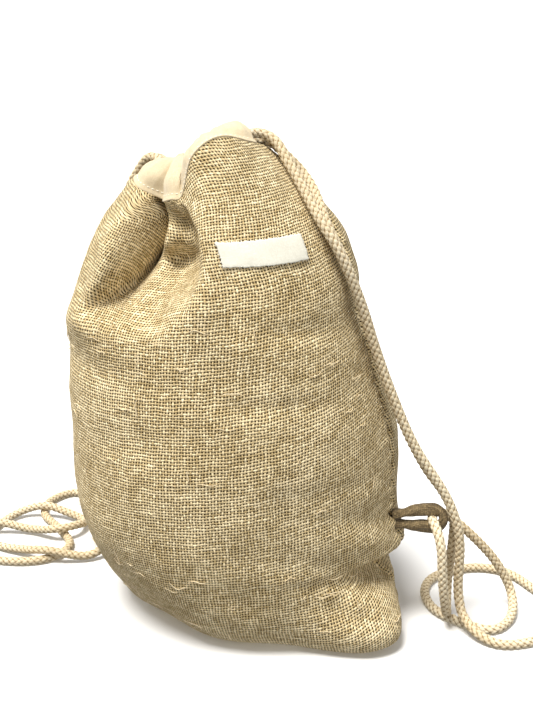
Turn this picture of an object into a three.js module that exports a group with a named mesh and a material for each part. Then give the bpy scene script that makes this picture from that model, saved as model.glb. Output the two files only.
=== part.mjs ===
// A drawstring backpack of coarse hemp, standing on its flattened base.
// Millimetres, +Z up, the label faces -Y.
// The origin is on the floor, at the middle of the bag and its tabs.
import * as THREE from 'three';
import { mergeVertices } from 'three/addons/utils/BufferGeometryUtils.js';

// Driving sizes
const HEMP = 1.6;
const COTTON = 1.2;
const GAP = 0.3;
const CORD = 6.5;
const SQUEEZED_CORD = 5.4;
const CORD_SIDES = 8;
const FLOOR_LINE = CORD / 2 + 0.15;
const CASING_HALF = 4.8;
const CASING_TALL = 30;
const LABEL = { angle: -73.5, level: 8.68, width: 57, height: 17, thick: 0.9, turn: 2 };
const TAB = { reach: 33, wide: 8, thick: 3.2, hole: 10, height: 82 };
const TAB_GAP = 2.2;
const TAB_TURNS = { right: 8, left: -45 };
const BASE_RING_SHARE = 0.6;
const LABEL_COLUMNS = 8;
const SAME_POINT = 1e-4;

// Angles run round the bag in degrees, 0 towards +X and -90 towards the front.
const RIGHT_SEAM = -20;
const LEFT_SEAM = 160;
const CORD_DOOR = 20;
const MOUTH_CENTRE = { x: -22, y: 2 };

// Where the middle of the bag and its tabs falls in the measures below
const MIDDLE = { x: 8.85, y: -0.16 };

// Levels of the hemp body from the floor up: half sizes each way from x, y.
const LEVELS = [
  { z: 0, x: 0, y: 0, left: 66, right: 96, front: 71, back: 68, square: 2.2, steps: 1 },
  { z: 7, x: 0, y: 0, left: 82, right: 107, front: 84, back: 83, square: 2.2, steps: 2 },
  { z: 27, x: 0, y: 0, left: 96, right: 113, front: 96, back: 95, square: 2.2, steps: 3 },
  { z: 57, x: 0, y: 0, left: 108, right: 116, front: 102, back: 101, square: 2.15, steps: 3 },
  { z: 92, x: 0, y: 0, left: 115, right: 115, front: 104, back: 104, square: 2.1, steps: 2 },
  { z: 135, x: 0, y: 0, left: 116, right: 114, front: 104, back: 103, square: 2.05, steps: 2 },
  { z: 180, x: 0, y: 0, left: 116, right: 101, front: 100, back: 98, square: 2, steps: 2 },
  { z: 222, x: 0, y: 0, left: 113, right: 90, front: 93, back: 88, square: 2, steps: 2 },
  { z: 256, x: 0, y: 0, left: 104, right: 81, front: 84, back: 75, square: 2, steps: 2 },
  { z: 285, x: -4, y: 0, left: 84, right: 71, front: 72, back: 60, square: 2, steps: 4 },
];

// Lobes and valleys of the gathered mouth: the hem where hemp meets cotton, and the cotton's rim.
const MOUTH = [
  { angle: -200, hem: 45, hemZ: 309, rim: 21, rimZ: 320 },
  { angle: -180, hem: 45, hemZ: 310, rim: 21, rimZ: 320 },
  { angle: -163, hem: 43, hemZ: 305, rim: 20, rimZ: 323 },
  { angle: -146, hem: 30, hemZ: 298, rim: 14, rimZ: 327 },
  { angle: -128, hem: 38, hemZ: 299, rim: 18, rimZ: 326 },
  { angle: -114, hem: 44, hemZ: 302, rim: 22, rimZ: 327 },
  { angle: -104, hem: 43, hemZ: 305, rim: 22, rimZ: 327 },
  { angle: -94, hem: 49, hemZ: 330, rim: 23, rimZ: 332 },
  { angle: -74, hem: 48, hemZ: 342, rim: 22, rimZ: 338 },
  { angle: -48, hem: 48, hemZ: 338, rim: 25, rimZ: 346 },
  { angle: -20, hem: 46, hemZ: 332, rim: 25, rimZ: 343 },
  { angle: 10, hem: 46, hemZ: 324, rim: 25, rimZ: 336 },
  { angle: 36, hem: 35, hemZ: 312, rim: 20, rimZ: 332 },
  { angle: 60, hem: 45, hemZ: 306, rim: 25, rimZ: 325 },
  { angle: 84, hem: 31, hemZ: 302, rim: 18, rimZ: 322 },
  { angle: 108, hem: 45, hemZ: 300, rim: 26, rimZ: 319 },
  { angle: 126, hem: 37, hemZ: 299, rim: 21, rimZ: 319 },
  { angle: 142, hem: 44, hemZ: 304, rim: 23, rimZ: 320 },
  { angle: 160, hem: 45, hemZ: 309, rim: 21, rimZ: 320 },
];

// Dents (depth above 0) and bulges (below 0) of the filled cloth, each fading over spread and reach.
// A fold with a lean drops by that many millimetres a degree.
const FOLDS = [
  { name: 'corner crease', angle: -24, spread: 26, z: 50, lean: 0.45, reach: 10, depth: 13 },
  { name: 'corner overhang', angle: -28, spread: 27, z: 70, lean: 0.45, reach: 15, depth: -5 },
  { name: 'bottom corner', angle: -40, spread: 18, z: 4, reach: 36, depth: -37 },
  { name: 'flat left foot', angle: -134, spread: 32, z: 0, reach: 50, depth: 20 },
  { name: 'neck recess', angle: -121, spread: 15, z: 280, reach: 24, depth: 23 },
  { name: 'deep pleat', angle: -144, spread: 6.5, z: 284, reach: 38, depth: 31 },
  { name: 'narrow pleat', angle: -111, spread: 5, z: 283, reach: 36, depth: 7 },
  { name: 'panel ridge', angle: -102, spread: 8, z: 285, reach: 50, depth: -6 },
  { name: 'left hollow', angle: -165, spread: 25, z: 254, reach: 22, depth: 2 },
  { name: 'left shoulder', angle: -150, spread: 34, z: 226, lean: -0.45, reach: 14, depth: -4 },
  { name: 'right waist', angle: -10, spread: 25, z: 227, reach: 12, depth: 4 },
  { name: 'first back pleat', angle: 36, spread: 10, z: 300, reach: 45, depth: 15 },
  { name: 'second back pleat', angle: 84, spread: 10, z: 296, reach: 45, depth: 15 },
  { name: 'third back pleat', angle: 126, spread: 9, z: 292, reach: 40, depth: 8 },
];

// Mesh columns round the bag: closer together where the cloth is pleated.
const COLUMN_SPANS = [
  { from: -200, to: -180, count: 4 },
  { from: -180, to: -150, count: 5 },
  { from: -150, to: -100, count: 14 },
  { from: -100, to: -92, count: 2 },
  { from: -92, to: -40, count: 7 },
  { from: -40, to: -20, count: 3 },
  { from: -20, to: 0, count: 3 },
  { from: 0, to: 140, count: 17 },
  { from: 140, to: 160, count: 3 },
];

// Centre lines of the four free cord stretches, each from the casing to the tab it is looped through
const RIGHT_LONG_ROUTE = [
  [7.4, -21.2, 340.4], [11, -17.2, 340.6], [16.4, -15, 341], [22.5, -15.8, 339.2], [28, -18.8, 335],
  [34, -25, 325], [41, -31.5, 314], [48, -39.5, 302], [55.5, -48.5, 289.5], [63.5, -53, 277.5],
  [71, -54, 263.5], [82.5, -51, 235.5], [92.5, -49, 205], [105.5, -49.5, 170.5], [120, -50.5, 138],
  [145, -51, 97], [153.5, -52, 71], [155, -52, 27], [158, -57, 13], [166, -70, 6.5],
  [180, -79, FLOOR_LINE], [204, -75, FLOOR_LINE], [224, -56, FLOOR_LINE],
  [230, -30, FLOOR_LINE], [219, -2, FLOOR_LINE], [205, 21, FLOOR_LINE], [186, 29, FLOOR_LINE],
  [163, 24, FLOOR_LINE], [145, 10, FLOOR_LINE], [138, -10, FLOOR_LINE], [142, -33, FLOOR_LINE],
  [157, -50, FLOOR_LINE], [178, -61, FLOOR_LINE], [194, -46, 4], [199, -24, 11], [187, -22, 35],
  [164, -26, 62], [148, -28, 76], [138.5, -34, 81.5], [135.3, -44.7, 82.2],
];
const RIGHT_SHORT_ROUTE = [
  [15.4, 1.2, 332.6], [16.4, -3.6, 334.6], [20, -7.6, 335.4], [25.4, -9.8, 333.6], [32.8, -10.4, 326.8],
  [44, -11, 315.5], [52, -22, 304.5], [57.5, -37, 291], [64, -45, 277], [71, -46.5, 263],
  [77, -45.5, 248.5], [82.5, -43.5, 234], [92, -41, 205], [105, -42, 170], [118, -43, 140],
  [130.5, -42.5, 117], [142.5, -42.5, 100], [150.2, -43, 83], [151, -40, 58], [150.5, -32, 28],
  [149.8, -36, 15], [148.5, -46, 10.7], [146.5, -56, 15.5], [144, -61.5, 27], [142, -64, 40],
  [140.8, -64.5, 53], [140, -63.5, 65.5], [138.2, -60, 75], [136, -53.5, 80.5], [135, -46.1, 81.9],
];
const LEFT_LONG_ROUTE = [
  [-49.5, 3.2, 317.4], [-50.2, 8.6, 319.2], [-53.4, 13.6, 321.2], [-59.2, 18.9, 320.4], [-65.8, 24.6, 312],
  [-74, 30.5, 298], [-80, 43, 277.5], [-86.5, 52, 250.5], [-93.5, 58, 212], [-98, 63, 160],
  [-100, 66, 85], [-106, 54, 12], [-118, 46, 5], [-153, 43.5, 10.9], [-172, 54, 6], [-196, 67, FLOOR_LINE],
  [-206, 84, FLOOR_LINE], [-201, 106, FLOOR_LINE], [-186, 124, 6], [-167, 124, 10.8], [-148, 119, 7],
  [-131, 108, 4.5], [-135, 88, 10.2], [-150, 80, 10.8], [-174, 92, 5], [-206, 92, 10.9],
  [-223, 79, 4.5], [-222, 58, FLOOR_LINE], [-203, 45, FLOOR_LINE], [-166, 39, FLOOR_LINE],
  [-146, 47, FLOOR_LINE], [-137, 66, FLOOR_LINE], [-150, 95, FLOOR_LINE], [-167, 121, FLOOR_LINE],
  [-168, 147, FLOOR_LINE], [-150, 166, FLOOR_LINE], [-130, 150, FLOOR_LINE], [-120, 90, FLOOR_LINE],
  [-119, 67, 26], [-118.2, 61.7, 81.6],
];
const LEFT_SHORT_ROUTE = [
  [-44.9, 19.8, 315.8], [-49.2, 20.2, 318.3], [-53.4, 23.3, 319.8], [-57.6, 28.3, 317.6], [-62, 34, 309],
  [-66.5, 38.5, 298], [-72, 52, 277.5], [-78.5, 61.5, 250], [-86, 68.5, 212], [-90, 74.5, 160],
  [-93, 76, 136], [-104, 76, 118], [-113.5, 70, 104], [-117.7, 63.8, 93], [-118.2, 61.7, 82.4],
];

const COLOURS = {
  hemp: 0xb3a077, cotton: 0xf0e4c8, cord: 0xe6d6b3, tab: 0x86744f, label: 0xfbf6e6,
};

function rad(degrees) {
  return THREE.MathUtils.degToRad(degrees);
}

function heading(angle) {
  return new THREE.Vector3(Math.cos(rad(angle)), Math.sin(rad(angle)), 0);
}

// The cubic through four equally spaced values, between the middle two
function cubic(a, b, c, d, t) {
  return b + 0.5 * t * (c - a + t * (2 * a - 5 * b + 4 * c - d + t * (3 * (b - c) + d - a)));
}

// A column of MOUTH at any angle, by a smooth curve through its rows
function mouthValue(key, angle) {
  const turn = ((angle - LEFT_SEAM) % 360 + 360) % 360 - 360 + LEFT_SEAM;
  const count = MOUTH.length - 1;
  let k = 0;
  while (k < count - 1 && MOUTH[k + 1].angle <= turn) k += 1;
  const row = (i) => MOUTH[(i + count) % count];
  const at = (i) => row(i).angle + 360 * Math.floor(i / count);
  const slope = (i) => (row(i + 1)[key] - row(i - 1)[key]) / (at(i + 1) - at(i - 1));
  const width = at(k + 1) - at(k);
  const t = (turn - at(k)) / width;
  const start = row(k)[key];
  const end = row(k + 1)[key];
  const rise = end - start;
  const first = slope(k) * width;
  const last = slope(k + 1) * width;
  return start + t * (first + t * (3 * rise - 2 * first - last + t * (first + last - 2 * rise)));
}

function hemPoint(angle) {
  const out = heading(angle).multiplyScalar(mouthValue('hem', angle));
  return out.add(new THREE.Vector3(MOUTH_CENTRE.x, MOUTH_CENTRE.y, mouthValue('hemZ', angle)));
}

function rimPoint(angle) {
  const out = heading(angle).multiplyScalar(mouthValue('rim', angle));
  return out.add(new THREE.Vector3(MOUTH_CENTRE.x, MOUTH_CENTRE.y, mouthValue('rimZ', angle)));
}

function levelPoint(level, angle) {
  const out = heading(angle);
  const across = out.x > 0 ? level.right : level.left;
  const deep = out.y > 0 ? level.back : level.front;
  const share = Math.abs(out.x / across) ** level.square + Math.abs(out.y / deep) ** level.square;
  return out.multiplyScalar(share ** (-1 / level.square)).add(new THREE.Vector3(level.x, level.y, level.z));
}

function foldDepth(angle, z) {
  let depth = 0;
  for (const fold of FOLDS) {
    const turn = ((angle - fold.angle + 180) % 360 + 360) % 360 - 180;
    const rise = z - fold.z + (fold.lean ?? 0) * turn;
    depth += fold.depth * Math.exp(-((turn / fold.spread) ** 2) - (rise / fold.reach) ** 2);
  }
  return depth;
}

// A point of the hemp's outer face. level counts the rows of LEVELS, and the hem comes after the last.
function bodyPoint(angle, level) {
  const rows = [...LEVELS.map((each) => levelPoint(each, angle)), hemPoint(angle)];
  const k = Math.min(Math.floor(level), rows.length - 2);
  const t = level - k;
  const before = rows[Math.max(k - 1, 0)];
  const after = rows[Math.min(k + 2, rows.length - 1)];
  const point = new THREE.Vector3();
  for (const axis of ['x', 'y', 'z']) {
    point[axis] = cubic(before[axis], rows[k][axis], rows[k + 1][axis], after[axis], t);
  }
  const free = k === rows.length - 2 ? 1 - t * t * (3 - 2 * t) : 1;
  return point.addScaledVector(heading(angle), -free * foldDepth(angle, point.z));
}

// One closed body from a list of triangles of points
function solid(triangles) {
  const geometry = new THREE.BufferGeometry().setFromPoints(triangles.flat());
  const merged = mergeVertices(geometry, SAME_POINT);
  const index = Array.from(merged.index.array);
  const kept = [];
  for (let i = 0; i < index.length; i += 3) {
    const [a, b, c] = index.slice(i, i + 3);
    if (a !== b && b !== c && c !== a) kept.push(a, b, c);
  }
  merged.setIndex(kept);
  merged.computeVertexNormals();
  return merged;
}

function quad(a, b, c, d) {
  return [[a, b, c], [a, c, d]];
}

// A wall between two grids of points of one size, closed along its four edges
function wall(outer, inner) {
  const triangles = [];
  const columns = outer.length - 1;
  const rows = outer[0].length - 1;
  for (let i = 0; i < columns; i += 1) {
    for (let j = 0; j < rows; j += 1) {
      triangles.push(...quad(outer[i][j], outer[i + 1][j], outer[i + 1][j + 1], outer[i][j + 1]));
      triangles.push(...quad(inner[i][j + 1], inner[i + 1][j + 1], inner[i + 1][j], inner[i][j]));
    }
    triangles.push(...quad(outer[i][rows], outer[i + 1][rows], inner[i + 1][rows], inner[i][rows]));
    triangles.push(...quad(inner[i][0], inner[i + 1][0], outer[i + 1][0], outer[i][0]));
  }
  for (let j = 0; j < rows; j += 1) {
    triangles.push(...quad(outer[0][j], outer[0][j + 1], inner[0][j + 1], inner[0][j]));
    const [skin, lining] = [outer[columns], inner[columns]];
    triangles.push(...quad(lining[j], lining[j + 1], skin[j + 1], skin[j]));
  }
  return solid(triangles);
}

function columnAngles() {
  const angles = [];
  for (const span of COLUMN_SPANS) {
    const step = (span.to - span.from) / span.count;
    for (let i = 0; i < span.count; i += 1) angles.push(span.from + step * i);
  }
  return angles;
}

function levelSteps() {
  const levels = [];
  LEVELS.forEach((level, k) => {
    for (let i = 0; i < level.steps; i += 1) levels.push(k + i / level.steps);
  });
  return [...levels, LEVELS.length];
}

// The whole hemp body as two grids, from the middle of the base to the hem
function bodyGrids() {
  const pole = new THREE.Vector3(LEVELS[0].x, LEVELS[0].y, 0);
  const outer = columnAngles().map((angle) => {
    const side = levelSteps().map((level) => bodyPoint(angle, level));
    return [pole.clone(), pole.clone().lerp(side[0], BASE_RING_SHARE), ...side];
  });
  const count = outer.length;
  const last = outer[0].length - 1;
  const inner = outer.map((column, i) => column.map((point, j) => {
    if (j <= 1) return point.clone().setZ(HEMP);
    const next = outer[(i + 1) % count][j];
    const round = new THREE.Vector3().subVectors(next, outer[(i + count - 1) % count][j]);
    const rise = new THREE.Vector3().subVectors(column[Math.min(j + 1, last)], column[j - 1]);
    return point.clone().addScaledVector(round.cross(rise).normalize(), -HEMP);
  }));
  return { outer, inner };
}

// The panel between two seams, moved half the seam's gap towards its own side
function panel(fromColumn, toColumn, side) {
  const { outer, inner } = bodyGrids();
  const shift = heading(side).multiplyScalar(GAP / 2);
  const cut = (grid) => {
    const columns = [];
    for (let i = fromColumn; i <= toColumn; i += 1) {
      columns.push(grid[i % grid.length].map((point) => point.clone().add(shift)));
    }
    return columns;
  };
  return wall(cut(outer), cut(inner));
}

// The frame of the cotton casing at an angle: foot on the hem, up to the rim, and out of the bag
function casingFrame(angle) {
  const foot = hemPoint(angle);
  const up = rimPoint(angle).sub(foot);
  const after = hemPoint(angle + 1).add(rimPoint(angle + 1));
  const before = hemPoint(angle - 1).add(rimPoint(angle - 1));
  const out = after.sub(before).cross(up).normalize();
  return (share, offset) => foot.clone().addScaledVector(up, share).addScaledVector(out, offset);
}

// Outlines across the casing as [share of its height, offset]: the cotton's outer face and the cord tunnel
const FOOT_SHARE = 0.07;
const CASING_OUTLINE = [
  [FOOT_SHARE, COTTON], [0.18, COTTON * 1.6], [0.33, CASING_HALF], [0.86, CASING_HALF], [1, COTTON],
  [1, -COTTON], [0.86, -CASING_HALF], [0.33, -CASING_HALF], [0.18, -COTTON * 1.6], [FOOT_SHARE, -COTTON],
];
const TUNNEL_HALF = CASING_HALF - COTTON;
const TUNNEL_OUTLINE = [
  [0.26, 0], [0.335, TUNNEL_HALF], [0.86, TUNNEL_HALF],
  [0.95, 0], [0.86, -TUNNEL_HALF], [0.335, -TUNNEL_HALF],
];
const RIGHT_RUN_SHARE = 0.45;
const LEFT_RUN_SHARE = 0.73;

// A casing between two angles, with the cord tunnel open at both ends
function casing(from, to) {
  const angles = columnAngles().filter((angle) => angle >= from && angle <= to);
  if (!angles.includes(to)) angles.push(to);
  const frames = angles.map(casingFrame);
  const rings = (outline) => frames.map((frame) => outline.map(([share, offset]) => frame(share, offset)));
  const skin = rings(CASING_OUTLINE);
  const tunnel = rings(TUNNEL_OUTLINE);
  const triangles = [];
  for (let i = 0; i + 1 < frames.length; i += 1) {
    for (let k = 0; k < CASING_OUTLINE.length; k += 1) {
      const m = (k + 1) % CASING_OUTLINE.length;
      triangles.push(...quad(skin[i][k], skin[i + 1][k], skin[i + 1][m], skin[i][m]));
    }
    for (let k = 0; k < TUNNEL_OUTLINE.length; k += 1) {
      const m = (k + 1) % TUNNEL_OUTLINE.length;
      triangles.push(...quad(tunnel[i][m], tunnel[i + 1][m], tunnel[i + 1][k], tunnel[i][k]));
    }
  }
  const spot = ([share, offset]) => new THREE.Vector2(share * CASING_TALL, offset);
  const flat = (outline) => outline.map(spot);
  const faces = THREE.ShapeUtils.triangulateShape(flat(CASING_OUTLINE), [flat(TUNNEL_OUTLINE)]);
  const ends = [[skin[0], tunnel[0], true], [skin.at(-1), tunnel.at(-1), false]];
  for (const [edge, hole, flip] of ends) {
    const points = [...edge, ...hole];
    for (const [a, b, c] of faces) {
      triangles.push(flip ? [points[c], points[b], points[a]] : [points[a], points[b], points[c]]);
    }
  }
  return solid(triangles);
}

// A curve whose even steps are its own points, so that a tube bends only at them
class PointCurve extends THREE.CatmullRomCurve3 {
  getPointAt(share, target) {
    return this.getPoint(share, target);
  }

  getTangentAt(share, target) {
    return this.getTangent(share, target);
  }
}

// A round cord along a list of points
function cord(points, diameter) {
  const section = new THREE.Shape();
  for (let k = 0; k < CORD_SIDES; k += 1) {
    const turn = (2 * Math.PI * (k + 0.5)) / CORD_SIDES;
    section.lineTo((diameter / 2) * Math.cos(turn), (diameter / 2) * Math.sin(turn));
  }
  const path = new PointCurve(points, false, 'centripetal');
  const options = { steps: points.length - 1, bevelEnabled: false, extrudePath: path };
  return new THREE.ExtrudeGeometry(section, options);
}

function route(rows) {
  return cord(rows.map((row) => new THREE.Vector3(...row)), CORD);
}

// The hidden stretch of a cord round the mouth, squeezed inside both casings
function casingRun(share, fromAngle, toAngle) {
  const lap = columnAngles();
  const laps = [...lap, ...lap.map((angle) => angle + 360)];
  const angles = laps.filter((each) => each >= fromAngle && each <= toAngle);
  return cord(angles.map((angle) => casingFrame(angle)(share, 0)), SQUEEZED_CORD);
}

// The sewn label, a thin plate that follows the hemp
function label() {
  const turn = rad(LABEL.turn);
  const middle = bodyPoint(LABEL.angle, LABEL.level);
  const perLevel = bodyPoint(LABEL.angle, LABEL.level + 0.1).distanceTo(middle) / 0.1;
  const spot = (across, up, lift) => {
    const level = LABEL.level + (across * Math.sin(turn) + up * Math.cos(turn)) / perLevel;
    const perDegree = bodyPoint(LABEL.angle + 1, level).distanceTo(bodyPoint(LABEL.angle, level));
    const angle = LABEL.angle + (across * Math.cos(turn) - up * Math.sin(turn)) / perDegree;
    const here = bodyPoint(angle, level);
    const round = bodyPoint(angle + 0.5, level).sub(here);
    const rise = bodyPoint(angle, level + 0.05).sub(here);
    return here.addScaledVector(round.cross(rise).normalize(), lift);
  };
  const grid = (lift) => {
    const columns = [];
    for (let i = 0; i <= LABEL_COLUMNS; i += 1) {
      const across = LABEL.width * (i / LABEL_COLUMNS - 0.5);
      columns.push([-0.5, 0, 0.5].map((share) => spot(across, share * LABEL.height, lift)));
    }
    return columns;
  };
  return wall(grid(2 * GAP + LABEL.thick), grid(2 * GAP));
}

// A hemp strip folded into a loop, lying flat, open at its sewn end, which is cut at a slant
function tab(slant) {
  const half = TAB.hole / 2 + TAB.thick;
  const bend = TAB.reach - half;
  const skew = Math.tan(rad(slant));
  const outline = new THREE.Shape();
  outline.moveTo(half * skew, -half);
  outline.lineTo(bend, -half);
  outline.absarc(bend, 0, half, -Math.PI / 2, Math.PI / 2, false);
  outline.lineTo(-half * skew, half);
  outline.lineTo((TAB.thick - half) * skew, half - TAB.thick);
  outline.lineTo(bend, half - TAB.thick);
  outline.absarc(bend, 0, TAB.hole / 2, Math.PI / 2, -Math.PI / 2, true);
  outline.lineTo((half - TAB.thick) * skew, TAB.thick - half);
  outline.closePath();
  const options = { depth: TAB.wide, bevelEnabled: false, curveSegments: 6 };
  const strip = new THREE.ExtrudeGeometry(outline, options);
  return strip.translate(0, 0, -TAB.wide / 2);
}

const backpack = new THREE.Group();

function add(name, geometry, colour) {
  const material = new THREE.MeshStandardMaterial({ color: colour, roughness: 0.95, metalness: 0 });
  const mesh = new THREE.Mesh(geometry, material);
  mesh.name = name;
  backpack.add(mesh);
  return mesh;
}

// A tab sewn in at a seam, turned from the seam's heading. One that stands has its hole to the front.
function addTab(name, seam, turn, stands) {
  const above = LEVELS.findIndex((each) => each.z > TAB.height);
  const below = LEVELS[above - 1];
  const level = above - 1 + (TAB.height - below.z) / (LEVELS[above].z - below.z);
  const strip = stands ? tab(0).rotateX(Math.PI / 2) : tab(-turn);
  const mesh = add(name, strip, COLOURS.tab);
  mesh.position.copy(bodyPoint(seam, level)).setZ(TAB.height);
  mesh.position.addScaledVector(heading(seam), TAB_GAP);
  mesh.rotation.z = rad(seam + turn);
}

const rightColumn = columnAngles().indexOf(RIGHT_SEAM);
const frontSide = (RIGHT_SEAM + LEFT_SEAM - 360) / 2;
add('front_panel', panel(0, rightColumn, frontSide), COLOURS.hemp);
add('back_panel', panel(rightColumn, columnAngles().length, frontSide + 180), COLOURS.hemp);
add('front_casing', casing(LEFT_SEAM - 360 + CORD_DOOR, RIGHT_SEAM - CORD_DOOR), COLOURS.cotton);
add('back_casing', casing(RIGHT_SEAM + CORD_DOOR, LEFT_SEAM - CORD_DOOR), COLOURS.cotton);
add('label', label(), COLOURS.label);
addTab('right_tab', RIGHT_SEAM, TAB_TURNS.right, true);
addTab('left_tab', LEFT_SEAM, TAB_TURNS.left, false);
const rightRun = casingRun(RIGHT_RUN_SHARE, RIGHT_SEAM + CORD_DOOR, RIGHT_SEAM + 360 - CORD_DOOR);
const leftRun = casingRun(LEFT_RUN_SHARE, LEFT_SEAM - 360 + CORD_DOOR, LEFT_SEAM - CORD_DOOR);
add('right_cord_run', rightRun, COLOURS.cord);
add('left_cord_run', leftRun, COLOURS.cord);
add('right_cord_long', route(RIGHT_LONG_ROUTE), COLOURS.cord);
add('right_cord_short', route(RIGHT_SHORT_ROUTE), COLOURS.cord);
add('left_cord_long', route(LEFT_LONG_ROUTE), COLOURS.cord);
add('left_cord_short', route(LEFT_SHORT_ROUTE), COLOURS.cord);

for (const mesh of backpack.children) {
  mesh.position.x -= MIDDLE.x;
  mesh.position.y -= MIDDLE.y;
}

export default backpack;
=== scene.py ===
# A drawstring backpack of coarse hemp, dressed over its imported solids.
# Tables are in millimetres and Blender is in metres, +Z up, and the label faces -Y.
import math

import bpy
import numpy as np
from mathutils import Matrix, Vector


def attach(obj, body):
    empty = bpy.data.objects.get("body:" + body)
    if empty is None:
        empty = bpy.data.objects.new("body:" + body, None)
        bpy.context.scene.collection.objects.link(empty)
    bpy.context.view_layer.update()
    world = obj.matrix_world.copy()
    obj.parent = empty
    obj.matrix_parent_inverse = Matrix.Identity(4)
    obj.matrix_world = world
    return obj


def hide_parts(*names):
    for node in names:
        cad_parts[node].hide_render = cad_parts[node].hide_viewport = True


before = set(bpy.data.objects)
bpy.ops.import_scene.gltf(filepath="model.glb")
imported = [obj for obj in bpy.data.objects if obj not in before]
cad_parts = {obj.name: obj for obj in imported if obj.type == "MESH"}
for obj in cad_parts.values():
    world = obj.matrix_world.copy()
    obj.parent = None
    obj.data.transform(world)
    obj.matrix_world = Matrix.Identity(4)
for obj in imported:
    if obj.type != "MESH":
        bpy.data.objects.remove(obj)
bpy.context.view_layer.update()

MM = 0.001

# Where the middle of the bag and its tabs falls in the tables below
MIDDLE = np.array([8.85, -0.16, 0])

# Thickness of the cloths and cords, and the height of a cord's middle when it lies on the floor
HEMP = 1.6
COTTON = 0.9
CORD = 6.5
SQUEEZED_CORD = 5.4
FLOOR_LINE = CORD / 2 + 0.15

# Spacing of the threads in each cloth, and the slow bow of the hemp's weft
HEMP_PITCH = 2.05
COTTON_PITCH = 0.7
TAPE_PITCH = 0.75
TAB_PITCH = 1.3
WEFT_BOW = {"rise": 0.00048, "middle": -100}

# The camera that sees the bag as the photo does
CAMERA = {"elevation": 18, "distance": 800, "target": (12.15, 0, 185), "lens": 57.92, "sensor": 36}

# Angles run round the bag in degrees, 0 towards +X and -90 towards the front.
RIGHT_SEAM = -20
LEFT_SEAM = 160
CORD_DOOR = 20
FRONT_CASING = (LEFT_SEAM - 360 + CORD_DOOR, RIGHT_SEAM - CORD_DOOR)
BACK_CASING = (RIGHT_SEAM + CORD_DOOR, LEFT_SEAM - CORD_DOOR)
MOUTH_CENTRE = (-22, 2)

# Levels of the hemp body: height, x of the middle, then half sizes and squareness
LEVEL_COLUMNS = ("z", "x", "left", "right", "front", "back", "square")
LEVEL_ROWS = [
    (0, 0, 66, 96, 71, 68, 2.2),
    (7, 0, 82, 107, 84, 83, 2.2),
    (27, 0, 96, 113, 96, 95, 2.2),
    (57, 0, 108, 116, 102, 101, 2.15),
    (92, 0, 115, 115, 104, 104, 2.1),
    (135, 0, 116, 114, 104, 103, 2.05),
    (180, 0, 116, 101, 100, 98, 2),
    (222, 0, 113, 90, 93, 88, 2),
    (256, 0, 104, 81, 84, 75, 2),
    (285, -4, 84, 71, 72, 60, 2),
]
LEVELS = [dict(zip(LEVEL_COLUMNS, row)) for row in LEVEL_ROWS]

# Lobes and valleys of the gathered mouth: the hem where hemp meets cotton, and the cotton's rim
MOUTH_COLUMNS = ("angle", "hem", "hem_z", "rim", "rim_z")
MOUTH_ROWS = np.array([
    (-200, 45, 309, 21, 320),
    (-180, 45, 310, 21, 320),
    (-163, 43, 305, 20, 323),
    (-146, 30, 298, 14, 327),
    (-128, 38, 299, 18, 326),
    (-114, 44, 302, 22, 327),
    (-104, 43, 305, 22, 327),
    (-94, 49, 330, 23, 332),
    (-74, 48, 342, 22, 338),
    (-48, 48, 338, 25, 346),
    (-20, 46, 332, 25, 343),
    (10, 46, 324, 25, 336),
    (36, 35, 312, 20, 332),
    (60, 45, 306, 25, 325),
    (84, 31, 302, 18, 322),
    (108, 45, 300, 26, 319),
    (126, 37, 299, 21, 319),
    (142, 44, 304, 23, 320),
], float)

# Dents (depth above 0) and bulges that the solids have too: angle, spread, z, lean, reach, depth
FOLDS = {
    "corner crease": (-24, 26, 50, 0.45, 10, 13),
    "corner overhang": (-28, 27, 70, 0.45, 15, -5),
    "bottom corner": (-40, 18, 4, 0, 36, -37),
    "flat left foot": (-134, 32, 0, 0, 50, 20),
    "neck recess": (-121, 15, 280, 0, 24, 23),
    "deep pleat": (-144, 6.5, 284, 0, 38, 31),
    "narrow pleat": (-111, 5, 283, 0, 36, 7),
    "panel ridge": (-102, 8, 285, 0, 50, -6),
    "left hollow": (-165, 25, 254, 0, 22, 2),
    "left shoulder": (-150, 34, 226, -0.45, 14, -4),
    "right waist": (-10, 25, 227, 0, 12, 4),
    "first back pleat": (36, 10, 300, 0, 45, 15),
    "second back pleat": (84, 10, 296, 0, 45, 15),
    "third back pleat": (126, 9, 292, 0, 40, 8),
}

# Shallow folds that only the dressed cloth has, in the same columns
SOFT_FOLDS = {
    "crisp ridge edge": (-109, 2.6, 280, 0, 24, 6),
    "shoulder ledge": (-138, 30, 232, -0.3, 10, -3),
    "front band": (-64, 22, 226, 0.15, 7, 2),
    "second front band": (-76, 18, 181, 0.1, 6, 1.6),
    "low right band": (-56, 16, 120, 0.1, 7, 1.8),
    "under the shoulder": (-150, 26, 196, 0.1, 10, 2.2),
    "left belly": (-128, 22, 150, -0.3, 14, 1.6),
    "below the pleat": (-124, 9, 225, 0, 30, 2.5),
    "front dimple": (-92, 14, 205, 0.5, 16, 1.4),
    "lip of the crease": (-27, 27, 62, 0.05, 5, -3.4),
    "over the crease": (-36, 22, 92, 0.45, 6, 1.6),
    "second over the crease": (-44, 24, 112, 0.5, 7, -1.2),
    "corner fold": (-52, 12, 34, 0.8, 8, 2.0),
    "low front": (-88, 18, 46, 0.35, 12, 1.6),
    "back waist": (90, 30, 180, 0.3, 14, 2.0),
    "back low": (60, 24, 70, -0.4, 12, 2.0),
    "left back": (140, 20, 120, 0.3, 12, 2.0),
}

# The overhanging crease at the lower right: angle, spread, z, lean, length of its edge,
# reach below it and depth
CREASE = (-27, 29, 57, 0.05, 2.2, 14, 8)

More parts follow.
